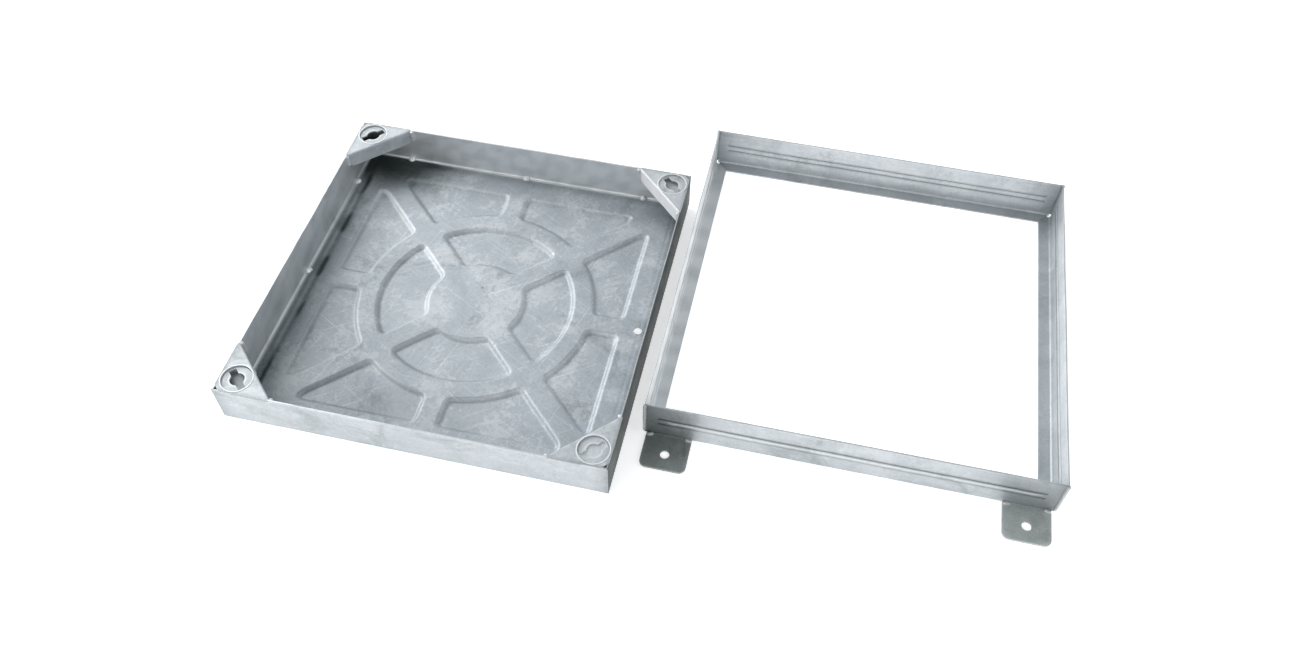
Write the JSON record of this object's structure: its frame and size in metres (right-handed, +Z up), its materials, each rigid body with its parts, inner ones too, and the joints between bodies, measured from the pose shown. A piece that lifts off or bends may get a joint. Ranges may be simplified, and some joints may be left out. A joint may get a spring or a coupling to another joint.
{
  "type": "recessed manhole cover with frame",
  "caption": "Square recessed manhole cover of galvanised sheet steel: a pave-in tray with an embossed floor and corner key sockets, beside its flat-laid anchor frame.",
  "frame": {"origin": "middle of the anchor frame, in its ground plane, which is also the middle of the anchor hole pattern", "axes": "+Z up out of the ground; +X from the tray towards the frame, along the front wall; +Y from the front wall to the back wall"},
  "size_m": [0.9146, 0.5805, 0.0566],
  "materials": {
    "galvanised_sheet": "hot-dip galvanised, semi-gloss, mottled",
    "galvanised_lug": "hot-dip galvanised, duller",
    "pressed_pan": "hot-dip galvanised, clouded",
    "galvanised_plate": "hot-dip galvanised, bright",
    "weld_metal": "weld bead under bright zinc"
  },
  "bodies": {
    "frame": {"frame_side_front": "galvanised_sheet", "frame_side_right": "galvanised_sheet", "frame_side_back": "galvanised_sheet", "frame_side_left": "galvanised_sheet", "anchor_lug_front_left": "galvanised_lug", "anchor_lug_front_right": "galvanised_lug", "anchor_lug_back_left": "galvanised_lug", "anchor_lug_back_right": "galvanised_lug", "frame_corner_welds": "weld_metal", "lug_welds": "weld_metal"},
    "tray": {"tray_side_front": "galvanised_sheet", "tray_side_right": "galvanised_sheet", "tray_side_back": "galvanised_sheet", "tray_side_left": "galvanised_sheet", "floor_pan": "pressed_pan", "corner_gusset_front_left": "galvanised_plate", "corner_gusset_front_right": "galvanised_plate", "corner_gusset_back_left": "galvanised_plate", "corner_gusset_back_right": "galvanised_plate", "key_socket_front_left": "galvanised_plate", "key_socket_front_right": "galvanised_plate", "key_socket_back_left": "galvanised_plate", "key_socket_back_right": "galvanised_plate", "key_plate_front_left": "galvanised_plate", "key_plate_front_right": "galvanised_plate", "key_plate_back_left": "galvanised_plate", "key_plate_back_right": "galvanised_plate", "tray_corner_welds": "weld_metal", "floor_tack_welds": "weld_metal", "gusset_welds": "weld_metal"}
  },
  "joints": [
    {"name": "tray_lift", "type": "slide", "parent": "frame", "child": "tray", "axis": [0, 0, 1], "range_m": [0, 0.3]}
  ]
}
